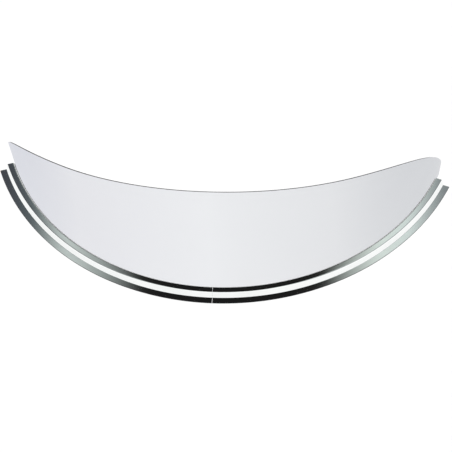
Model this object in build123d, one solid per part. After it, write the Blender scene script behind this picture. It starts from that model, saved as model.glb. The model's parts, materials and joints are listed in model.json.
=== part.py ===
from build123d import *
import math
import os

# Wide-angle convex mirror: a mirror-finish sheet bent to a shallow cone, edged along its lower
# arc by a stepped bright trim in two halves, and carried by a rear arm and two end brackets.
#
# Row frame, in millimetres: +Z is up, -Y is the way the mirror faces, the wall is the plane Y = 0,
# and the origin is the centre of the wall plate's hole pattern on that plane.
# Most pieces are drawn in the rim frame, whose Z axis is the axis of the cone and whose plane
# Z = 0 is the plane of the lower arc. rim_to_row tilts that frame and sets it in front of the wall.

# ---- driving dimensions -----------------------------------------------------------------------
ARC_RADIUS = 300.0          # radius of the upright step of the trim
HALF_ARC = 71.1             # degrees from the middle of the arc to each end
TILT = 30.5                 # degrees that the rim plane drops towards the front
TOP_EDGE_HEIGHT = 38.7      # height of the top edge's plane over the rim plane, at the cone's axis
FLARE = 0.15                # outward lean of the sheet, radius gained for each unit of height
SHOULDER_RADIUS = 545.0     # from the side, the top edge falls to each end in an arc of this radius
SHOULDER_START = 270.0      # the fall starts this far in front of the wall
CORNER_RADIUS = 30.0        # rounding where the arc meets the sheet's end

SHEET_THICKNESS = 2.0
SHEET_OVERHANG = 4.0        # degrees by which the sheet passes each end of the trim
SHEET_FOOT = -14.0          # lowest level of the sheet, inside the channel
ROUNDING_OVERRUN = 0.05     # the corner arc crosses both edges by this much
CORNER_MARGIN = 20.0        # how far the cutting shapes reach past the edges

TRIM_THICKNESS = 1.2
OUTER_FLANGE_WIDTH = 9.0
INNER_FLANGE_WIDTH = 9.9
STEP_HEIGHT = 9.7
OUTER_FLANGE_LEVEL = -7.0   # top face of the outer flange
CHANNEL_BOTTOM = -24.0      # lowest level of the hem, the seal's heel and the clamp strip
BEND_RADIUS = 1.3           # centre-line radius of the trim's bends
LIP_ALLOWANCE = 0.4         # the sheet's front face stands this far behind the seal's leg
HALVES_GAP = 0.4            # gap of the butt joint between the two halves

SEAL_LEG = 0.8
SEAL_FLOOR = 0.8
SEAL_TOP = 0.6              # top level of the seal's legs

CLAMP_THICKNESS = 1.5
CLAMP_TOP = 10.0
JOINER_THICKNESS = 2.0
JOINER_TOP = -2.5
JOINER_HALF_ARC = 10.8

BRACKET_THICKNESS = 3.0
BRACKET_TOP = 14.0
BRACKET_PAD_ARC = (59.6, 70.6)  # degrees covered by an end bracket's pad
BRACKET_WEB_SHARE = 0.835   # how far out its upright web stands, as a share of the arc's radius
WEB_TRIM_ARC = 20.0         # the web is trimmed to the pad this far past its ends
BRACKET_FLANGE_WIDTH = 38.0
BRACKET_FLANGE_HEIGHT = 42.0
BRACKET_DROP = 86.0         # middle of the end flange, below the rim plane's centre
BRACKET_HOLE_SPACING = 26.0
BRACKET_HOLE_INSET = 16.0   # hole line in from the free side of the flange

PLATE_SIZE = 70.0
PLATE_THICKNESS = 4.0
PLATE_CORNER = 8.0
PLATE_HOLE_SPACING = 50.0
WALL_HOLE_RADIUS = 3.5
WALL_PAD_THICKNESS = 2.0

ARM_RADIUS = 11.0
ARM_WALL = 2.0
COLLAR_WALL = 4.0
COLLAR_LENGTH = 28.0
SADDLE_COLLAR_LENGTH = 42.0
SADDLE_HALF_ARC = 10.8
SADDLE_TOP = 9.0
SADDLE_TRIM_ARC = 32.0      # the collar is trimmed to the plate over this half arc
ARM_END_GAP = 2.0           # from the tube's end to the saddle's plate
COLLAR_STOCK = 18.0         # collar length past the saddle plate, before it is trimmed to it
AXIS_SETBACK = 50.0         # the rim plane's centre lies this far behind the wall plane
ARM_MEETS_LEVEL = -6.5      # level at which the arm's axis meets the saddle plate's rear face

FASTENER_LEVEL = -19.2      # level of the fastener line, under the sheet's foot
CLAMP_SCREW_ANGLES = (16.0, 27.0, 38.0, 49.0)
BRACKET_BOLT_ANGLES = (61.8, 69.0)
SADDLE_BOLT_ANGLES = (5.0, 9.0)

M4 = {"shank": 2.0, "head": 3.8, "head_height": 2.4, "nut": 3.5, "nut_height": 3.2}
M5 = {"shank": 2.5, "head": 4.4, "head_height": 2.8, "nut": 4.0, "nut_height": 4.0}
SET_SCREW_RADIUS = 3.0
SET_SCREW_LENGTH = 6.0
SET_SCREW_INSET = 9.0       # set screw from the open end of its collar
SET_SCREW_SOCKET = 1.5
SET_SCREW_SOCKET_DEPTH = 3.0
WASHER_RADIUS = 4.9
WASHER_THICKNESS = 0.8
SHANK_STICK_OUT = 1.2       # shank past the nut
SOCKET_SHARE = 0.6          # half width of a screw's hexagon socket, as a share of the shank

# ---- clearances -------------------------------------------------------------------------------
HOLE_CLEARANCE = 0.25       # on radius, round every fastener shank
TUBE_CLEARANCE = 0.1        # on radius, between arm and collars
NUT_CLEARANCE = 0.1         # on radius, nut thread over its shank
SEAT_GAP = 0.05             # under a flat head or washer, for the hollow curve it bears on

# ---- worked-out values ------------------------------------------------------------------------
LEAN = math.degrees(math.atan(FLARE))
FRONT_BASE = ARC_RADIUS - INNER_FLANGE_WIDTH - SEAL_LEG - LIP_ALLOWANCE
HEM_FRONT = -(SEAL_LEG + TRIM_THICKNESS)
STRIP_FRONT = SHEET_THICKNESS + SEAL_LEG
STRIP_BACK = STRIP_FRONT + CLAMP_THICKNESS
PLATE_BACK = STRIP_BACK + BRACKET_THICKNESS
INNER_FLANGE_LEVEL = OUTER_FLANGE_LEVEL + STEP_HEIGHT
COLLAR_RADIUS = ARM_RADIUS + TUBE_CLEARANCE + COLLAR_WALL
SHEET_HALF_ARC = HALF_ARC + SHEET_OVERHANG
SHEET_CUT_HEIGHT = 2.0 * ARC_RADIUS     # the sheet's stock, before its top edge is cut
WASTE_SIZE = 6.0 * ARC_RADIUS           # side of the block that cuts the top edge
DRILL_REACH = 3.0 * PLATE_BACK          # how far a drill passes either face of a joint
TRIM_ZONE_DEPTH = 2.0 / 3.0 * ARC_RADIUS  # how far that trimming reaches in front of the sheet
WEB_STOCK = ARC_RADIUS / 2              # web length before it is trimmed to the pad

BRACKET_WEB_X = BRACKET_WEB_SHARE * ARC_RADIUS
ARM_MEETS_RADIUS = FRONT_BASE + FLARE * ARM_MEETS_LEVEL - PLATE_BACK / math.cos(math.radians(LEAN))
# height of the rim plane's centre over the origin, to a tenth, so that the arm runs level
AXIS_LIFT = round(ARM_MEETS_RADIUS * math.sin(math.radians(TILT))
                  - ARM_MEETS_LEVEL * math.cos(math.radians(TILT)), 1)
BRACKET_LIFT = AXIS_LIFT - BRACKET_DROP

os.makedirs("parts", exist_ok=True)


# ---- frames and helpers -----------------------------------------------------------------------
def rim_to_row(piece):
    """Tilt a piece from the rim frame and set it in front of the wall."""
    return Pos(0, AXIS_SETBACK, AXIS_LIFT) * Rot(TILT, 0, 0) * piece


def wall_radius(level, depth):
    """Radius at a level, for the surface that lies depth behind the sheet's front face."""
    return FRONT_BASE + FLARE * level - depth / math.cos(math.radians(LEAN))


def arc_plane(angle):
    """Section plane through the cone's axis: x is outward at the angle, y is the axis."""
    a = math.radians(angle)
    outward = Vector(math.sin(a), -math.cos(a), 0)
    return Plane(origin=(0, 0, 0), x_dir=outward, z_dir=outward.cross(Vector(0, 0, 1)))


def turned(section, start, end):
    """Turn a section, drawn as radius and level, round the cone's axis from start to end."""
    return revolve(arc_plane(start) * section, Axis.Z, revolution_arc=end - start)


def band(front, back, bottom, top):
    """Section of a layer that leans with the sheet, between two depths and two levels."""
    corners = [(wall_radius(bottom, back), bottom), (wall_radius(bottom, front), bottom),
               (wall_radius(top, front), top), (wall_radius(top, back), top)]
    return make_face(Polyline(*corners, close=True))


def fastener_plane(angle, depth):
    """Plane square to the leaning wall on the fastener line; its z axis points forward."""
    a = math.radians(angle)
    lean = math.radians(LEAN)
    outward = Vector(math.sin(a), -math.cos(a), 0)
    normal = outward * math.cos(lean) + Vector(0, 0, -math.sin(lean))
    along = Vector(math.cos(a), math.sin(a), 0)
    front = outward * wall_radius(FASTENER_LEVEL, 0) + Vector(0, 0, FASTENER_LEVEL)
    return Plane(origin=front - normal * depth, x_dir=along, z_dir=normal)


def rod(angle, radius, back, front):
    """Cylinder along the fastener axis at an angle, between two depths."""
    shape = Cylinder(radius, back - front, align=(Align.CENTER, Align.CENTER, Align.MIN))
    return fastener_plane(angle, back) * shape


def hex_rod(angle, radius, back, front):
    """Hexagonal prism along the fastener axis, between two depths; radius is half across flats."""
    outline = RegularPolygon(radius, 6, major_radius=False)
    return fastener_plane(angle, back) * extrude(outline, amount=back - front)


def drilled(piece, angles, shank):
    """Cut clearance holes on the fastener line."""
    for angle in angles:
        piece = piece - rod(angle, shank + HOLE_CLEARANCE, DRILL_REACH, -DRILL_REACH)
    return piece


def both_sides(angles):
    """The angles on the left of the middle, then those on the right."""
    return [-angle for angle in reversed(angles)] + list(angles)


def half_angles(side):
    """Start and end angle of one half of the arc, side -1 for left and +1 for right."""
    gap_angle = math.degrees(HALVES_GAP / 2 / ARC_RADIUS)
    ends = sorted([side * gap_angle, side * HALF_ARC])
    return ends[0], ends[1]


def channel_holes(piece, side=0):
    """Drill the clamp, bracket and saddle holes that fall on one side, or on both."""
    for angles, size in ((CLAMP_SCREW_ANGLES, M4), (BRACKET_BOLT_ANGLES, M5),
                         (SADDLE_BOLT_ANGLES, M5)):
        wanted = [a for a in both_sides(angles) if side == 0 or a * side > 0]
        piece = drilled(piece, wanted, size["shank"])
    return piece


# ---- mirror -----------------------------------------------------------------------------------
def side_view(radial, level):
    """Forward distance from the wall and row height, for a point of the rim frame's side view."""
    tilt = math.radians(TILT)
    forward = radial * math.cos(tilt) + level * math.sin(tilt) - AXIS_SETBACK
    height = level * math.cos(tilt) - radial * math.sin(tilt) + AXIS_LIFT
    return Vector(forward, height)


def top_edge_level():
    """Row height of the sheet's level top edge."""
    return side_view(0, 0).Y + TOP_EDGE_HEIGHT * math.cos(math.radians(TILT))


def shoulder_centre():
    """Centre of the arc in which the top edge falls to the ends, in the side view."""
    return Vector(SHOULDER_START, top_edge_level() - SHOULDER_RADIUS + ROUNDING_OVERRUN)


def end_corner():
    """Corner of the arc and the sheet's end, with its directions down the end and along the arc."""
    share = math.cos(math.radians(SHEET_HALF_ARC))
    foot = side_view(wall_radius(0, 0) * share, 0)
    up = (side_view(wall_radius(ARC_RADIUS, 0) * share, ARC_RADIUS) - foot).normalized()
    offset = foot - shoulder_centre()
    along = offset.dot(up)
    rise = math.sqrt(along ** 2 - offset.dot(offset) + SHOULDER_RADIUS ** 2) - along
    corner = foot + up * rise
    spoke = (corner - shoulder_centre()).normalized()
    return corner, up * -1, Vector(spoke.Y, -spoke.X)


def side_prism(face):
    """Prism right across the sheet, from a face drawn in the side view."""
    side_plane = Plane(origin=(0, 0, 0), x_dir=(0, -1, 0), z_dir=(-1, 0, 0))
    return extrude(side_plane * face, amount=2 * ARC_RADIUS, both=True)


def shoulder_waste():
    """What the arc takes off the top edge near both ends."""
    corner = end_corner()[0]
    low = corner - Vector(2 * CORNER_MARGIN, CORNER_MARGIN)
    high = Vector(SHOULDER_START, top_edge_level() + CORNER_MARGIN)
    size = high - low
    block = Pos(low.X, low.Y) * Rectangle(size.X, size.Y, align=(Align.MIN, Align.MIN))
    centre = shoulder_centre()
    return side_prism(block - Pos(centre.X, centre.Y) * Circle(SHOULDER_RADIUS))


def corner_waste():
    """What the rounding takes off both ends of that arc."""
    corner, down, forward = end_corner()
    inward = (forward + down).normalized()
    half_angle = math.radians(forward.get_angle(down) / 2)
    reach = CORNER_RADIUS - ROUNDING_OVERRUN
    centre = corner + inward * (reach / math.sin(half_angle))
    square_to_arc = Vector(-forward.Y, forward.X)
    square_to_end = Vector(down.Y, -down.X)
    over_arc = centre + square_to_arc * (reach + CORNER_MARGIN)
    past_end = centre + square_to_end * (reach + CORNER_MARGIN)
    outer = corner - inward * (2 * CORNER_MARGIN)
    kite = make_face(Polyline(centre, over_arc, outer, past_end, close=True))
    return side_prism(kite - Pos(centre.X, centre.Y) * Circle(CORNER_RADIUS))


def mirror_sheet():
    """The bent sheet, its level top edge, the fall to each end and the rounded corners."""
    layer = band(0, SHEET_THICKNESS, SHEET_FOOT, SHEET_CUT_HEIGHT)
    wall = turned(layer, -SHEET_HALF_ARC, SHEET_HALF_ARC)
    above = Box(WASTE_SIZE, WASTE_SIZE, WASTE_SIZE,
                align=(Align.CENTER, Align.CENTER, Align.MIN))
    wall = rim_to_row(wall) - Pos(0, 0, top_edge_level()) * above
    return wall - shoulder_waste() - corner_waste()


# ---- trim -------------------------------------------------------------------------------------
def trim_section():
    """Stepped section: outer flange, upright step, inner flange and the hem beside the seal."""
    half = TRIM_THICKNESS / 2
    step_r = ARC_RADIUS - half
    low = OUTER_FLANGE_LEVEL - half
    high = INNER_FLANGE_LEVEL - half
    hem_depth = -(SEAL_LEG + half)
    path = FilletPolyline((ARC_RADIUS + OUTER_FLANGE_WIDTH, low), (step_r, low), (step_r, high),
                          (wall_radius(high, hem_depth), high),
                          (wall_radius(CHANNEL_BOTTOM, hem_depth), CHANNEL_BOTTOM),
                          radius=BEND_RADIUS)
    return trace(path, TRIM_THICKNESS)


def trim_half(side):
    start, end = half_angles(side)
    return channel_holes(turned(trim_section(), start, end), side)


def foot_seal():
    """Rubber strip: two legs beside the sheet's foot and a solid heel under it."""
    legs = band(-SEAL_LEG, STRIP_FRONT, SHEET_FOOT - SEAL_FLOOR, SEAL_TOP)
    heel = band(-SEAL_LEG, STRIP_FRONT, CHANNEL_BOTTOM, SHEET_FOOT - SEAL_FLOOR)
    slot = band(0, SHEET_THICKNESS, SHEET_FOOT, SEAL_TOP + SEAL_LEG)
    return channel_holes(turned(legs + heel - slot, -HALF_ARC, HALF_ARC))


def clamp_strip(side):
    start, end = half_angles(side)
    strip = turned(band(STRIP_FRONT, STRIP_BACK, CHANNEL_BOTTOM, CLAMP_TOP), start, end)
    return channel_holes(strip, side)


def trim_joiner():
    """Splice strip in front of the hems, across the butt joint."""
    front = HEM_FRONT - JOINER_THICKNESS
    strip = band(front, HEM_FRONT, CHANNEL_BOTTOM, JOINER_TOP)
    strip = turned(strip, -JOINER_HALF_ARC, JOINER_HALF_ARC)
    return drilled(strip, both_sides(SADDLE_BOLT_ANGLES), M5["shank"])


# ---- fasteners --------------------------------------------------------------------------------
def screws(angles, size, back, front):
    """Round-headed screws whose heads bear at depth back and whose nuts bear at depth front."""
    group = []
    for angle in both_sides(angles):
        tip = front - size["nut_height"] - SHANK_STICK_OUT
        shank = rod(angle, size["shank"], back, tip)
        head = rod(angle, size["head"], back + size["head_height"], back)
        socket = hex_rod(angle, size["shank"] * SOCKET_SHARE, back + size["head_height"],
                         back + size["head_height"] / 2)
        group.append(head + shank - socket)
    return group


def nuts(angles, size, front):
    group = []
    for angle in both_sides(angles):
        body = hex_rod(angle, size["nut"], front, front - size["nut_height"])
        hole = rod(angle, size["shank"] + NUT_CLEARANCE, front, front - size["nut_height"])
        group.append(body - hole)
    return group


def washers(angles, size, back):
    group = []
    for angle in both_sides(angles):
        disc = rod(angle, WASHER_RADIUS, back + WASHER_THICKNESS, back)
        hole = rod(angle, size["shank"] + HOLE_CLEARANCE, back + WASHER_THICKNESS, back)
        group.append(disc - hole)
    return group


# ---- rear arm and saddle ----------------------------------------------------------------------
def level_rod(radius, back, front):
    """Cylinder along the row's -Y axis through the origin, between two distances from the wall."""
    shape = Cylinder(radius, front - back, align=(Align.CENTER, Align.CENTER, Align.MIN))
    return Pos(0, -back, 0) * Rot(90, 0, 0) * shape


def beyond_plate(start, end):
    """Everything in front of the middle of a bearing plate, for trimming what is welded to it."""
    middle = STRIP_BACK + BRACKET_THICKNESS / 2
    zone = band(-TRIM_ZONE_DEPTH, middle, -ARC_RADIUS, ARC_RADIUS)
    return rim_to_row(turned(zone, start, end))


def saddle_plate():
    plate = turned(band(STRIP_BACK, PLATE_BACK, CHANNEL_BOTTOM, SADDLE_TOP),
                   -SADDLE_HALF_ARC, SADDLE_HALF_ARC)
    return drilled(plate, both_sides(SADDLE_BOLT_ANGLES), M5["shank"])


def plate_distance():
    """Level distance from the wall to the saddle plate's rear face, along the arm's axis."""
    tilt = math.radians(TILT)
    base = wall_radius(0, PLATE_BACK)
    # the arm's line is the row height zero; meet it with the face, radius = base + FLARE * level
    level = (base * math.tan(tilt) - AXIS_LIFT / math.cos(tilt)) / (1 - FLARE * math.tan(tilt))
    return side_view(wall_radius(level, PLATE_BACK), level).X


def saddle():
    """Curved plate with a level collar for the arm and a set-screw hole under the collar."""
    reach = plate_distance()
    collar_back = reach - SADDLE_COLLAR_LENGTH
    collar = level_rod(COLLAR_RADIUS, collar_back, reach + COLLAR_STOCK)
    collar = collar - beyond_plate(-SADDLE_TRIM_ARC, SADDLE_TRIM_ARC)
    body = rim_to_row(saddle_plate()) + collar
    body = body - level_rod(ARM_RADIUS + TUBE_CLEARANCE, collar_back, tube_end() + ARM_END_GAP / 2)
    return body - set_screw(collar_back + SET_SCREW_INSET, HOLE_CLEARANCE)


def tube_end():
    """Distance from the wall to the arm's front end, short of the leaning saddle plate."""
    lean = math.radians(TILT + LEAN)
    return plate_distance() - (ARM_RADIUS + TUBE_CLEARANCE) * math.tan(lean) - ARM_END_GAP


def set_screw(distance, oversize=0.0):
    """Grub screw from below into a collar, at a distance from the wall."""
    shape = Cylinder(SET_SCREW_RADIUS + oversize, SET_SCREW_LENGTH,
                     align=(Align.CENTER, Align.CENTER, Align.MAX))
    return Pos(0, -distance, -ARM_RADIUS) * shape


def set_screws():
    group = []
    plate_screw = WALL_PAD_THICKNESS + PLATE_THICKNESS + COLLAR_LENGTH - SET_SCREW_INSET
    saddle_screw = plate_distance() - SADDLE_COLLAR_LENGTH + SET_SCREW_INSET
    for distance in (plate_screw, saddle_screw):
        socket = extrude(RegularPolygon(SET_SCREW_SOCKET, 6, major_radius=False),
                         amount=SET_SCREW_SOCKET_DEPTH)
        socket = Pos(0, -distance, -ARM_RADIUS - SET_SCREW_LENGTH) * socket
        group.append(set_screw(distance) - socket)
    return group


def arm_tube():
    back = WALL_PAD_THICKNESS + PLATE_THICKNESS
    tube = level_rod(ARM_RADIUS, back, tube_end())
    return tube - level_rod(ARM_RADIUS - ARM_WALL, back, tube_end())


# ---- wall side --------------------------------------------------------------------------------
def wall_slab(width, height, corner, back, thickness, hole_points, middle):
    """Rounded plate parallel to the wall, drilled, with its back at a distance from the wall."""
    outline = RectangleRounded(width, height, corner)
    for x, z in hole_points:
        outline = outline - Pos(x, z) * Circle(WALL_HOLE_RADIUS)
    slab = extrude(outline, amount=thickness)
    return Pos(middle[0], -back, middle[1]) * Rot(90, 0, 0) * slab


def plate_holes():
    half = PLATE_HOLE_SPACING / 2
    return [(x, z) for x in (-half, half) for z in (-half, half)]


def wall_plate():
    """Square plate with the arm's collar and its set-screw hole."""
    face = WALL_PAD_THICKNESS + PLATE_THICKNESS
    plate = wall_slab(PLATE_SIZE, PLATE_SIZE, PLATE_CORNER, WALL_PAD_THICKNESS, PLATE_THICKNESS,
                      plate_holes(), (0, 0))
    collar = level_rod(COLLAR_RADIUS, face, face + COLLAR_LENGTH)
    collar = collar - level_rod(ARM_RADIUS + TUBE_CLEARANCE, face, face + COLLAR_LENGTH)
    return plate + collar - set_screw(face + COLLAR_LENGTH - SET_SCREW_INSET, HOLE_CLEARANCE)


def wall_plate_pad():
    return wall_slab(PLATE_SIZE, PLATE_SIZE, PLATE_CORNER, 0, WALL_PAD_THICKNESS,
                     plate_holes(), (0, 0))


def bracket_flange_middle(side):
    """Middle of an end bracket's wall flange, as row x and z."""
    return (side * (BRACKET_WEB_X + BRACKET_THICKNESS / 2 - BRACKET_FLANGE_WIDTH / 2),
            BRACKET_LIFT)


def bracket_holes(side):
    shift = -side * (BRACKET_FLANGE_WIDTH / 2 - BRACKET_HOLE_INSET)
    half = BRACKET_HOLE_SPACING / 2
    return [(shift, -half), (shift, half)]


def end_bracket(side):
    """Curved pad behind the clamp strip, upright web and wall flange, welded as one piece."""
    low, high = sorted([side * BRACKET_PAD_ARC[0], side * BRACKET_PAD_ARC[1]])
    pad = turned(band(STRIP_BACK, PLATE_BACK, CHANNEL_BOTTOM, BRACKET_TOP), low, high)
    angles = [side * a for a in BRACKET_BOLT_ANGLES]
    pad = rim_to_row(drilled(pad, angles, M5["shank"]))
    middle = bracket_flange_middle(side)
    flange = wall_slab(BRACKET_FLANGE_WIDTH, BRACKET_FLANGE_HEIGHT, BRACKET_THICKNESS,
                       WALL_PAD_THICKNESS, BRACKET_THICKNESS, bracket_holes(side), middle)
    web = Box(BRACKET_THICKNESS, WEB_STOCK, BRACKET_FLANGE_HEIGHT,
              align=(Align.CENTER, Align.MAX, Align.CENTER))
    web = Pos(side * BRACKET_WEB_X, -WALL_PAD_THICKNESS, middle[1]) * web
    web = web - beyond_plate(low - WEB_TRIM_ARC, high + WEB_TRIM_ARC)
    return pad + web + flange


def end_pad(side):
    return wall_slab(BRACKET_FLANGE_WIDTH, BRACKET_FLANGE_HEIGHT, BRACKET_THICKNESS, 0,
                     WALL_PAD_THICKNESS, bracket_holes(side), bracket_flange_middle(side))


# ---- assembly ---------------------------------------------------------------------------------
def rim_group(pieces):
    return Compound(children=[rim_to_row(p).solid() for p in pieces])


def main():
    washer_depth = PLATE_BACK + SEAT_GAP
    head_depth = washer_depth + WASHER_THICKNESS
    joiner_front = HEM_FRONT - JOINER_THICKNESS
    nodes = {
        "mirror_sheet": mirror_sheet(),
        "trim_left": rim_to_row(trim_half(-1)),
        "trim_right": rim_to_row(trim_half(1)),
        "foot_seal": rim_to_row(foot_seal()),
        "clamp_strip_left": rim_to_row(clamp_strip(-1)),
        "clamp_strip_right": rim_to_row(clamp_strip(1)),
        "clamp_screws": rim_group(screws(CLAMP_SCREW_ANGLES, M4, STRIP_BACK + SEAT_GAP, HEM_FRONT)),
        "clamp_nuts": rim_group(nuts(CLAMP_SCREW_ANGLES, M4, HEM_FRONT)),
        "trim_joiner": rim_to_row(trim_joiner()),
        "saddle": saddle(),
        "saddle_bolts": rim_group(screws(SADDLE_BOLT_ANGLES, M5, head_depth, joiner_front)),
        "saddle_washers": rim_group(washers(SADDLE_BOLT_ANGLES, M5, washer_depth)),
        "saddle_nuts": rim_group(nuts(SADDLE_BOLT_ANGLES, M5, joiner_front)),
        "arm_tube": arm_tube(),
        "arm_set_screws": Compound(children=[s.solid() for s in set_screws()]),
        "wall_plate": wall_plate(),
        "wall_plate_pad": wall_plate_pad(),
        "end_bracket_left": end_bracket(-1),
        "end_bracket_right": end_bracket(1),
        "end_bracket_bolts": rim_group(screws(BRACKET_BOLT_ANGLES, M5, head_depth, HEM_FRONT)),
        "end_bracket_washers": rim_group(washers(BRACKET_BOLT_ANGLES, M5, washer_depth)),
        "end_bracket_nuts": rim_group(nuts(BRACKET_BOLT_ANGLES, M5, HEM_FRONT)),
        "end_pad_left": end_pad(-1),
        "end_pad_right": end_pad(1),
    }
    for name, shape in nodes.items():
        export_step(shape, "parts/" + name + ".step")
        box = shape.bounding_box()
        print(name, len(shape.solids()), [round(v, 1) for v in (*box.min, *box.max)])


main()
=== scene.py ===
import bpy
import json
import math
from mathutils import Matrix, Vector


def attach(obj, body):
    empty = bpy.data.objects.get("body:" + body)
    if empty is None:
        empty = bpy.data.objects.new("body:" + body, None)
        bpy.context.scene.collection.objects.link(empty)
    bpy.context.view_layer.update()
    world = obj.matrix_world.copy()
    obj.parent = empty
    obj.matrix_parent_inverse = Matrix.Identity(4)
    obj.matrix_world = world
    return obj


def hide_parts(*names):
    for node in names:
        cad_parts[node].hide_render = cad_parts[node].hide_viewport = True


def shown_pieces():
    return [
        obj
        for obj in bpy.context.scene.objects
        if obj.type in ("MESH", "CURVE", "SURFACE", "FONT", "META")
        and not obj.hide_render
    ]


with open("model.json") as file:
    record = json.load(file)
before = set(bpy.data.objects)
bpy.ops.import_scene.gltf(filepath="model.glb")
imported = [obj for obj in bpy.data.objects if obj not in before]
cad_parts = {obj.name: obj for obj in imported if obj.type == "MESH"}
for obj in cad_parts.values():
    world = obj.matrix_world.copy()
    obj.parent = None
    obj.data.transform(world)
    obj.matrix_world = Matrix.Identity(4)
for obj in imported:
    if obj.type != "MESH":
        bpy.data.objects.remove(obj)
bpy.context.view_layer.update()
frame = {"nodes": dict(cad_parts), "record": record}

# Looks of the wide-angle convex mirror. The bent sheet and the two halves of the stepped trim are
# modelled again here as smooth surfaces in place of their CAD nodes; every other CAD node stays
# and gets a procedural material. Lengths are in metres, in the row frame: +Z up, -Y the way the
# mirror faces. The rim frame has the cone's axis as Z, and its plane Z = 0 holds the lower arc.

NODES = frame["nodes"]

# ---- driving dimensions ------------------------------------------------------------------------
TILT = math.radians(30.5)        # the rim plane drops this much towards the front
HALF_ARC = math.radians(71.1)    # from the middle of the arc to each end of the trim
ARC_RADIUS = 0.300               # radius of the upright step of the trim
AXIS_SETBACK = 0.050             # the rim plane's centre lies this far behind the wall plane
AXIS_LIFT = 0.148                # and this far above the row's origin
SHEET_HALF_ARC = math.radians(75.1)  # the sheet passes each end of the trim
FLARE = 0.15                     # radius the sheet gains for each unit of height
SHEET_BASE = 0.2889              # radius of the sheet's front face in the rim plane
SHEET_THICKNESS = 0.002
SHEET_FOOT = -0.014              # level of the sheet's lower edge
TOP_EDGE_HEIGHT = 0.0387         # level of the top edge's plane, at the cone's axis
SHOULDER_RADIUS = 0.545          # from the side, the top edge falls to each end in such an arc
SHOULDER_START = 0.270           # the fall starts this far in front of the wall
CORNER_RADIUS = 0.030            # rounding where the arc meets the sheet's end
TRIM_THICKNESS = 0.0012
OUTER_FLANGE_WIDTH = 0.009
OUTER_LEVEL = -0.0076            # middle of the outer flange's sheet
INNER_LEVEL = 0.0021             # middle of the inner flange's sheet
HEM_FOOT = -0.024                # level of the hem's lower edge
HEM_DEPTH = 0.0014               # middle of the hem, in front of the sheet's face
BEND_RADIUS = 0.0013             # of the middle of the trim's sheet
HALVES_GAP = 0.0004
INSET = 0.00002                  # new pieces stay this far inside their CAD nodes

LEAN = math.atan(FLARE)
ARC_SHARE = 1 - INSET            # keeps the ends of the arcs inside too, by a share of the angle

# ---- fineness of the meshes --------------------------------------------------------------------
SEARCH_TOP = 0.4                 # a level that is above the sheet at every angle
SEARCH_STEPS = 30                # halvings of the search for the sheet's top
SHEET_HALF_COLUMNS = 110
SHEET_ROWS = 28
TRIM_COLUMNS = 150
BEND_STEPS = 8
SUPPORT_MARGIN = 0.0003          # the rows that keep the trim's flats flat stand this far in
LONG_RUN = 5                     # a flat of more than this many margins gets such rows
SHEET_SHARP_DEGREES = 35.0       # steeper edges than these are shaded as sharp
TRIM_SHARP_DEGREES = 40.0
PLANE_SHARP_DEGREES = 30.0

# ---- studio and camera -------------------------------------------------------------------------
FLOOR_HALF_SIZE = 30.0
FLOOR_LEVEL = -0.9
PANEL_WIDTH = 1.2
PANEL_DEPTH = 1.6
PANEL_LEVEL = 0.75
PANEL_DARK = (0.012, 0.012, 0.012)
WORLD_STRENGTH = 1.10
CAMERA_AZIMUTH = math.radians(4.49)      # from the mirror's front towards +X
CAMERA_ELEVATION = math.radians(18.73)
CAMERA_ROLL = math.radians(0.58)
CAMERA_DISTANCE = 10.0                   # from the rim plane's centre
CAMERA_AIM = Vector((0.0, -0.046, -0.135))   # from the rim plane's centre too
CAMERA_LENS = 610.0
CAMERA_SENSOR = 36.0
CAMERA_CLIP_END = 100.0


# ---- mesh helpers ------------------------------------------------------------------------------
def to_row(radial, angle, level):
    """Point of the row frame for a radius, an angle from the front and a level of the rim frame."""
    side = radial * math.sin(angle)
    front = radial * math.cos(angle)
    y = AXIS_SETBACK - front * math.cos(TILT) - level * math.sin(TILT)
    z = AXIS_LIFT + level * math.cos(TILT) - front * math.sin(TILT)
    return Vector((side, y, z))


def sheet_radius(level, depth=0.0):
    """Radius of the sheet's face at a level, or of the surface that lies depth behind it."""
    return SHEET_BASE + FLARE * level - depth / math.cos(LEAN)


def add_mesh(name, points, faces, sharp_degrees):
    """New smooth-shaded object of the scene, with the edges over an angle kept sharp."""
    mesh = bpy.data.meshes.new(name)
    mesh.from_pydata([tuple(p) for p in points], [], faces)
    mesh.validate()
    mesh.update()
    for polygon in mesh.polygons:
        polygon.use_smooth = True
    mesh.set_sharp_from_angle(angle=math.radians(sharp_degrees))
    piece = bpy.data.objects.new(name, mesh)
    bpy.context.scene.collection.objects.link(piece)
    return piece


def add_materials(piece, materials):
    for material in materials:
        piece.data.materials.append(material)


def use_slot(piece, first, count, slot):
    """Give a run of a piece's faces the material of a slot."""
    for index in range(first, first + count):
        piece.data.polygons[index].material_index = slot


# ---- material helpers --------------------------------------------------------------------------
def new_material(name):
    material = bpy.data.materials.new(name)
    material.use_nodes = True
    tree = material.node_tree
    shader = tree.nodes["Principled BSDF"]
    return material, tree, shader


def object_coordinates(tree):
    return tree.nodes.new("ShaderNodeTexCoord").outputs["Object"]


def noise(tree, scale, detail, stretch=None):
    """Noise over the object's own coordinates, stretched along an axis if asked."""
    texture = tree.nodes.new("ShaderNodeTexNoise")
    texture.inputs["Scale"].default_value = scale
    texture.inputs["Detail"].default_value = detail
    source = object_coordinates(tree)
    if stretch is not None:
        mapping = tree.nodes.new("ShaderNodeMapping")
        mapping.inputs["Scale"].default_value = stretch
        tree.links.new(source, mapping.inputs["Vector"])
        source = mapping.outputs["Vector"]
    tree.links.new(source, texture.inputs["Vector"])
    return texture.outputs["Fac"]


def ramp(tree, source, stops):
    """Colour ramp with stops of (position, colour)."""
    node = tree.nodes.new("ShaderNodeValToRGB")
    tree.links.new(source, node.inputs["Fac"])
    elements = node.color_ramp.elements
    while len(elements) < len(stops):
        elements.new(0.5)
    for element, (position, colour) in zip(elements, stops):
        element.position = position
        element.color = (*colour, 1.0)
    return node.outputs["Color"]


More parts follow.
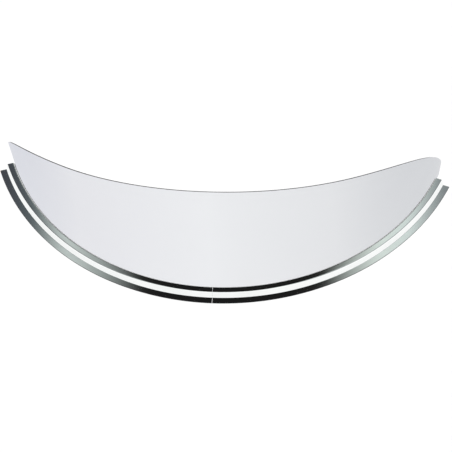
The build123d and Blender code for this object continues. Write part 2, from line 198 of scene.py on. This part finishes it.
def between(tree, source, low, high):
    """Map a 0 to 1 value onto a range."""
    node = tree.nodes.new("ShaderNodeMapRange")
    node.inputs["To Min"].default_value = low
    node.inputs["To Max"].default_value = high
    tree.links.new(source, node.inputs["Value"])
    return node.outputs["Result"]


def bump(tree, shader, source, strength, distance):
    node = tree.nodes.new("ShaderNodeBump")
    node.inputs["Strength"].default_value = strength
    node.inputs["Distance"].default_value = distance
    tree.links.new(source, node.inputs["Height"])
    tree.links.new(node.outputs["Normal"], shader.inputs["Normal"])


def across(tree, low, high):
    """0 to 1 from left to right between two X values."""
    split = tree.nodes.new("ShaderNodeSeparateXYZ")
    tree.links.new(object_coordinates(tree), split.inputs["Vector"])
    node = tree.nodes.new("ShaderNodeMapRange")
    node.inputs["From Min"].default_value = low
    node.inputs["From Max"].default_value = high
    tree.links.new(split.outputs["X"], node.inputs["Value"])
    return node.outputs["Result"]


# ---- materials ---------------------------------------------------------------------------------
def mirror_material():
    """Bright sheet with a painted reflection tone: cool on the left, near white in the middle, with
    faint polishing haze.
    """
    material, tree, shader = new_material("mirror_painted_reflection")
    # Painted reflection: a tint tied to object X, cool grey and darker at both ends and near white
    # in the middle, stands for the tone the sheet reflects.
    tint = ramp(tree, across(tree, -0.29, 0.29), [
        (0.0, (0.54, 0.56, 0.635)),
        (0.20, (0.75, 0.755, 0.79)),
        (0.50, (0.82, 0.83, 0.85)),
        (0.77, (0.74, 0.75, 0.77)),
        (1.0, (0.54, 0.555, 0.585)),
    ])
    tree.links.new(tint, shader.inputs["Base Color"])
    shader.inputs["Metallic"].default_value = 1.0
    haze = noise(tree, 9.0, 4.0)
    tree.links.new(between(tree, haze, 0.26, 0.40), shader.inputs["Roughness"])
    bump(tree, shader, noise(tree, 60.0, 3.0), 0.02, 0.0004)
    return material


def edge_material():
    """Raw sheared edge of the sheets, dull, with fine shear marks; its near-black colour is painted
    shade for the dark lines along the thin edges.
    """
    material, tree, shader = new_material("sheared_edge_painted_shade")
    grain = noise(tree, 900.0, 2.0)
    # Painted shade: a near-black tone along every sheared edge of the sheet and the trim halves.
    tone = ramp(tree, grain, [(0.3, (0.010, 0.010, 0.012)), (0.7, (0.035, 0.035, 0.038))])
    tree.links.new(tone, shader.inputs["Base Color"])
    shader.inputs["Metallic"].default_value = 0.6
    tree.links.new(between(tree, grain, 0.45, 0.7), shader.inputs["Roughness"])
    bump(tree, shader, grain, 0.2, 0.0002)
    return material


def back_material():
    """Back of the sheet: satin metal with vertical rolling marks and a light haze."""
    material, tree, shader = new_material("sheet_back")
    marks = noise(tree, 120.0, 4.0, (1.0, 1.0, 0.06))
    tint = ramp(tree, marks, [(0.3, (0.50, 0.51, 0.52)), (0.7, (0.60, 0.61, 0.62))])
    tree.links.new(tint, shader.inputs["Base Color"])
    shader.inputs["Metallic"].default_value = 1.0
    tree.links.new(between(tree, marks, 0.38, 0.52), shader.inputs["Roughness"])
    bump(tree, shader, marks, 0.05, 0.0003)
    return material


def chrome_material():
    """Polished trim with very fine polishing lines and a faint stain here and there."""
    material, tree, shader = new_material("polished_trim")
    stain = noise(tree, 14.0, 5.0)
    tint = ramp(tree, stain, [(0.3, (0.86, 0.875, 0.87)), (0.7, (0.93, 0.945, 0.94))])
    tree.links.new(tint, shader.inputs["Base Color"])
    shader.inputs["Metallic"].default_value = 1.0
    lines = noise(tree, 240.0, 3.0, (0.2, 1.0, 1.0))
    tree.links.new(between(tree, lines, 0.05, 0.13), shader.inputs["Roughness"])
    bump(tree, shader, noise(tree, 30.0, 2.0), 0.02, 0.0005)
    return material


def zinc_material():
    """Galvanised steel with soft spangle."""
    material, tree, shader = new_material("zinc_steel")
    cells = tree.nodes.new("ShaderNodeTexVoronoi")
    cells.inputs["Scale"].default_value = 190.0
    tree.links.new(object_coordinates(tree), cells.inputs["Vector"])
    spangle = cells.outputs["Distance"]
    tint = ramp(tree, spangle, [(0.0, (0.52, 0.54, 0.55)), (0.8, (0.70, 0.71, 0.71))])
    tree.links.new(tint, shader.inputs["Base Color"])
    shader.inputs["Metallic"].default_value = 1.0
    tree.links.new(between(tree, noise(tree, 70.0, 4.0), 0.28, 0.5), shader.inputs["Roughness"])
    bump(tree, shader, noise(tree, 400.0, 3.0), 0.08, 0.0002)
    return material


def fastener_material():
    """Zinc-plated screws and nuts with turning marks and slightly dulled patches."""
    material, tree, shader = new_material("plated_fastener")
    patches = noise(tree, 260.0, 4.0)
    tint = ramp(tree, patches, [(0.3, (0.55, 0.55, 0.52)), (0.7, (0.78, 0.78, 0.75))])
    tree.links.new(tint, shader.inputs["Base Color"])
    shader.inputs["Metallic"].default_value = 1.0
    tree.links.new(between(tree, patches, 0.2, 0.42), shader.inputs["Roughness"])
    bump(tree, shader, noise(tree, 1500.0, 2.0), 0.1, 0.0001)
    return material


def rubber_material():
    """Matte black rubber with a pebbled skin and a little dust."""
    material, tree, shader = new_material("black_rubber")
    dust = noise(tree, 120.0, 5.0)
    tint = ramp(tree, dust, [(0.35, (0.018, 0.018, 0.020)), (0.8, (0.055, 0.055, 0.058))])
    tree.links.new(tint, shader.inputs["Base Color"])
    tree.links.new(between(tree, dust, 0.6, 0.85), shader.inputs["Roughness"])
    bump(tree, shader, noise(tree, 1800.0, 3.0), 0.25, 0.0002)
    return material


def powder_material():
    """Dark grey powder coat with orange peel and slightly worn, paler high spots."""
    material, tree, shader = new_material("powder_coat")
    wear = noise(tree, 35.0, 6.0)
    tint = ramp(tree, wear, [(0.3, (0.060, 0.064, 0.070)), (0.75, (0.095, 0.10, 0.108))])
    tree.links.new(tint, shader.inputs["Base Color"])
    shader.inputs["Coat Weight"].default_value = 0.2
    tree.links.new(between(tree, wear, 0.38, 0.55), shader.inputs["Roughness"])
    bump(tree, shader, noise(tree, 850.0, 2.0), 0.22, 0.0003)
    return material


# ---- the sheet ---------------------------------------------------------------------------------
def side_view(radial, level):
    """Distance in front of the wall and height, for a point of the rim frame's side view."""
    forward = radial * math.cos(TILT) + level * math.sin(TILT) - AXIS_SETBACK
    height = AXIS_LIFT + level * math.cos(TILT) - radial * math.sin(TILT)
    return Vector((forward, height))


def top_outline():
    """Shoulder arc and corner rounding in the side view, as the facts that sheet_top needs."""
    share = math.cos(SHEET_HALF_ARC)
    edge_height = AXIS_LIFT + TOP_EDGE_HEIGHT * math.cos(TILT)
    shoulder = Vector((SHOULDER_START, edge_height - SHOULDER_RADIUS))
    foot = side_view(SHEET_BASE * share, 0.0)
    up = (side_view(sheet_radius(ARC_RADIUS) * share, ARC_RADIUS) - foot).normalized()
    offset = foot - shoulder
    along = offset.dot(up)
    rise = math.sqrt(along ** 2 - offset.dot(offset) + SHOULDER_RADIUS ** 2) - along
    corner = foot + up * rise
    spoke = (corner - shoulder).normalized()
    forward = Vector((spoke.y, -spoke.x))
    inward = (forward - up).normalized()
    half = math.acos(-forward.dot(up)) / 2
    return {
        "edge_height": edge_height,
        "shoulder": shoulder,
        "corner": corner,
        "forward": forward,
        "up": up,
        "centre": corner + inward * (CORNER_RADIUS / math.sin(half)),
        "tangent": CORNER_RADIUS / math.tan(half),
    }


def within_top(point, top):
    """True if a point of the side view lies below the top edge, its shoulder and the rounding."""
    if point.y > top["edge_height"]:
        return False
    if point.x < SHOULDER_START and (point - top["shoulder"]).length > SHOULDER_RADIUS:
        return False
    from_corner = point - top["corner"]
    near_arc = from_corner.dot(top["forward"]) < top["tangent"]
    near_end = -from_corner.dot(top["up"]) < top["tangent"]
    return not (near_arc and near_end and (point - top["centre"]).length > CORNER_RADIUS)


def sheet_top(angle, depth, top):
    """Level where the sheet ends at an angle, found by halving."""
    share = math.cos(angle)
    low, high = SHEET_FOOT, SEARCH_TOP
    for _ in range(SEARCH_STEPS):
        middle = (low + high) / 2
        if within_top(side_view(sheet_radius(middle, depth) * share, middle), top):
            low = middle
        else:
            high = middle
    return low - INSET


def sheet_columns():
    """Angles of the sheet's columns, closer together towards the two ends."""
    steps = [i / SHEET_HALF_COLUMNS for i in range(-SHEET_HALF_COLUMNS, SHEET_HALF_COLUMNS + 1)]
    return [SHEET_HALF_ARC * ARC_SHARE * math.sin(s * math.pi / 2) for s in steps]


def sheet_points(columns):
    """Front points and then back points, column by column and from the foot to the top."""
    top_facts = top_outline()
    foot = SHEET_FOOT + INSET
    points = []
    for depth in (INSET, SHEET_THICKNESS - INSET):
        for angle in columns:
            top = sheet_top(angle, depth, top_facts)
            for i in range(SHEET_ROWS + 1):
                level = foot + (top - foot) * i / SHEET_ROWS
                points.append(to_row(sheet_radius(level, depth), angle, level))
    return points


def mirror_sheet():
    """Bent sheet with its mirror face and foot, its sheared edges and its satin back."""
    columns = sheet_columns()
    stride = SHEET_ROWS + 1
    back = len(columns) * stride
    faces = []
    rear = []
    rim = []
    for c in range(len(columns) - 1):
        for r in range(SHEET_ROWS):
            a = c * stride + r
            faces.append((a, a + stride, a + stride + 1, a + 1))
            rear.append((back + a, back + a + 1, back + a + stride + 1, back + a + stride))
        foot_a = c * stride
        top_a = foot_a + SHEET_ROWS
        faces.append((foot_a, back + foot_a, back + foot_a + stride, foot_a + stride))
        rim.append((top_a, top_a + stride, back + top_a + stride, back + top_a))
    last = (len(columns) - 1) * stride
    for r in range(SHEET_ROWS):
        rim.append((r, r + 1, back + r + 1, back + r))
        rim.append((last + r, back + last + r, back + last + r + 1, last + r + 1))
    piece = add_mesh("mirror_sheet_bent", sheet_points(columns), faces + rim + rear,
                     SHEET_SHARP_DEGREES)
    add_materials(piece, (mirror_material(), EDGE, back_material()))
    use_slot(piece, len(faces), len(rim), 1)
    use_slot(piece, len(faces) + len(rim), len(rear), 2)
    return piece


# ---- the trim ----------------------------------------------------------------------------------
def rounded_path(corners, radius, steps):
    """Polyline of (radius, level) points with its inner corners rounded."""
    path = [Vector(corners[0])]
    for before, corner, after in zip(corners, corners[1:], corners[2:]):
        corner = Vector(corner)
        back = (Vector(before) - corner).normalized()
        ahead = (Vector(after) - corner).normalized()
        half = math.acos(max(-1.0, min(1.0, back.dot(ahead)))) / 2
        cut = radius / math.tan(half)
        centre = corner + (back + ahead).normalized() * (radius / math.sin(half))
        start = corner + back * cut - centre
        sweep = start.angle_signed(corner + ahead * cut - centre)
        for i in range(steps + 1):
            turn = -sweep * i / steps
            c, s = math.cos(turn), math.sin(turn)
            path.append(centre + Vector((start.x * c - start.y * s, start.x * s + start.y * c)))
    path.append(Vector(corners[-1]))
    return path


def with_support(path, margin):
    """Add points near the ends of each long run, so that smooth shading keeps the flats flat."""
    result = [path[0]]
    for a, b in zip(path, path[1:]):
        run = (b - a).length
        if run > LONG_RUN * margin:
            along = (b - a).normalized()
            result.append(a + along * margin)
            result.append(b - along * margin)
        result.append(b)
    return result


def trim_outline():
    """The two faces of the folded trim sheet in section, as (radius, level) points."""
    step = ARC_RADIUS - TRIM_THICKNESS / 2
    corners = [
        (ARC_RADIUS + OUTER_FLANGE_WIDTH - INSET, OUTER_LEVEL),
        (step, OUTER_LEVEL),
        (step, INNER_LEVEL),
        (sheet_radius(INNER_LEVEL, -HEM_DEPTH), INNER_LEVEL),
        (sheet_radius(HEM_FOOT, -HEM_DEPTH), HEM_FOOT + INSET),
    ]
    path = with_support(rounded_path(corners, BEND_RADIUS, BEND_STEPS), SUPPORT_MARGIN)
    half = TRIM_THICKNESS / 2 - INSET
    one_side = []
    other_side = []
    for i, point in enumerate(path):
        a = path[max(i - 1, 0)]
        b = path[min(i + 1, len(path) - 1)]
        along = (b - a).normalized()
        across_path = Vector((-along.y, along.x))
        one_side.append(point + across_path * half)
        other_side.append(point - across_path * half)
    return one_side, other_side


def trim_half(side):
    """Half of the trim, -1 for the left and 1 for the right, with its long edges sheared."""
    one_side, other_side = trim_outline()
    outline = one_side + other_side[::-1]
    count = len(outline)
    first = (HALVES_GAP / 2 + INSET) / ARC_RADIUS
    span = HALF_ARC * ARC_SHARE - first
    angles = [first + span * i / TRIM_COLUMNS for i in range(TRIM_COLUMNS + 1)]
    points = [to_row(p.x, side * angle, p.y) for angle in angles for p in outline]
    faces = []
    edges = []
    for c in range(TRIM_COLUMNS):
        for i in range(count):
            j = (i + 1) % count
            quad = (c * count + i, c * count + j, (c + 1) * count + j, (c + 1) * count + i)
            quad = quad if side < 0 else quad[::-1]
            is_edge = i in (len(one_side) - 1, count - 1)
            (edges if is_edge else faces).append(quad)
    caps = []
    for base in (0, TRIM_COLUMNS * count):
        for i in range(len(one_side) - 1):
            j = count - 1 - i
            quad = (base + i, base + i + 1, base + j - 1, base + j)
            flip = (base == 0) == (side < 0)
            caps.append(quad[::-1] if flip else quad)
    name = "trim_folded_left" if side < 0 else "trim_folded_right"
    piece = add_mesh(name, points, faces + edges + caps, TRIM_SHARP_DEGREES)
    add_materials(piece, (CHROME, EDGE))
    use_slot(piece, len(faces), len(edges), 1)
    return piece


# ---- build the pieces --------------------------------------------------------------------------
CHROME = chrome_material()
EDGE = edge_material()

sheet = mirror_sheet()
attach(sheet, "root")
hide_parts("mirror_sheet")

for trim_side, trim_node in ((-1, "trim_left"), (1, "trim_right")):
    trim = trim_half(trim_side)
    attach(trim, "root")
    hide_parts(trim_node)


# ---- materials of the CAD nodes ----------------------------------------------------------------
FINISHES = {
    "zinc_steel": zinc_material(),
    "fastener": fastener_material(),
    "rubber": rubber_material(),
    "powder_coat": powder_material(),
}
for subpart in frame["record"]["subparts"]:
    if subpart["material_slot"] in FINISHES:
        materials = NODES[subpart["node"]].data.materials
        materials.clear()
        materials.append(FINISHES[subpart["material_slot"]])


# The sheet leans over the flanges. Out of each other's reflections, all pieces show the studio.
for visible_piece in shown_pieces():
    visible_piece.visible_glossy = False


# ---- studio ------------------------------------------------------------------------------------
def level_plane(name, half_width, half_depth, level, facing_up):
    """Level rectangle over the row's origin, facing up or down."""
    points = [(-half_width, -half_depth, level), (half_width, -half_depth, level),
              (half_width, half_depth, level), (-half_width, half_depth, level)]
    face = (0, 1, 2, 3) if facing_up else (3, 2, 1, 0)
    return add_mesh(name, points, [face], PLANE_SHARP_DEGREES)


def floor():
    """Plain pale floor."""
    piece = level_plane("studio_floor", FLOOR_HALF_SIZE, FLOOR_HALF_SIZE, FLOOR_LEVEL, True)
    material, tree, shader = new_material("pale_floor")
    tone = ramp(tree, noise(tree, 3.0, 2.0), [(0.3, (0.93, 0.93, 0.93)), (0.7, (0.95, 0.95, 0.95))])
    tree.links.new(tone, shader.inputs["Base Color"])
    shader.inputs["Roughness"].default_value = 0.9
    add_materials(piece, (material,))


def overhead_panel():
    """Panel over the mirror, black in the middle and softly bright on each side of it."""
    piece = level_plane("overhead_panel", PANEL_WIDTH / 2, PANEL_DEPTH / 2, PANEL_LEVEL, False)
    material = bpy.data.materials.new("overhead_panel")
    material.use_nodes = True
    tree = material.node_tree
    tree.nodes.clear()
    output = tree.nodes.new("ShaderNodeOutputMaterial")
    glow = tree.nodes.new("ShaderNodeEmission")
    tone = ramp(tree, across(tree, -0.40, 0.40), [
        (0.06, (0.060, 0.064, 0.075)),
        (0.11, (0.10, 0.12, 0.13)),
        (0.17, (0.62, 0.68, 0.66)),
        (0.30, PANEL_DARK),
        (0.62, PANEL_DARK),
        (0.71, (0.72, 0.79, 0.75)),
        (0.76, (0.70, 0.78, 0.76)),
        (0.82, (0.22, 0.24, 0.25)),
    ])
    tree.links.new(tone, glow.inputs["Color"])
    tree.links.new(glow.outputs["Emission"], output.inputs["Surface"])
    add_materials(piece, (material,))
    piece.visible_camera = False
    piece.visible_diffuse = False
    piece.visible_shadow = False


def studio():
    """Floor, overhead panel and an even white world."""
    floor()
    overhead_panel()
    world = bpy.data.worlds.new("studio")
    bpy.context.scene.world = world
    world.use_nodes = True
    background = world.node_tree.nodes["Background"]
    background.inputs["Color"].default_value = (1.0, 1.0, 1.0, 1.0)
    background.inputs["Strength"].default_value = WORLD_STRENGTH
    bpy.context.scene.view_settings.view_transform = "Standard"


def camera():
    """Long lens in front of the mirror, a little to its right and above it."""
    rim_centre = to_row(0.0, 0.0, 0.0)
    aim = rim_centre + CAMERA_AIM
    outward = Vector((math.sin(CAMERA_AZIMUTH) * math.cos(CAMERA_ELEVATION),
                      -math.cos(CAMERA_AZIMUTH) * math.cos(CAMERA_ELEVATION),
                      math.sin(CAMERA_ELEVATION)))
    data = bpy.data.cameras.new("camera")
    data.lens = CAMERA_LENS
    data.sensor_width = CAMERA_SENSOR
    data.clip_end = CAMERA_CLIP_END
    eye = bpy.data.objects.new("camera", data)
    bpy.context.scene.collection.objects.link(eye)
    eye.location = rim_centre + outward * CAMERA_DISTANCE
    eye.rotation_euler = (aim - eye.location).to_track_quat("-Z", "Y").to_euler()
    eye.rotation_euler.rotate_axis("Z", CAMERA_ROLL)
    bpy.context.scene.camera = eye


studio()
camera()
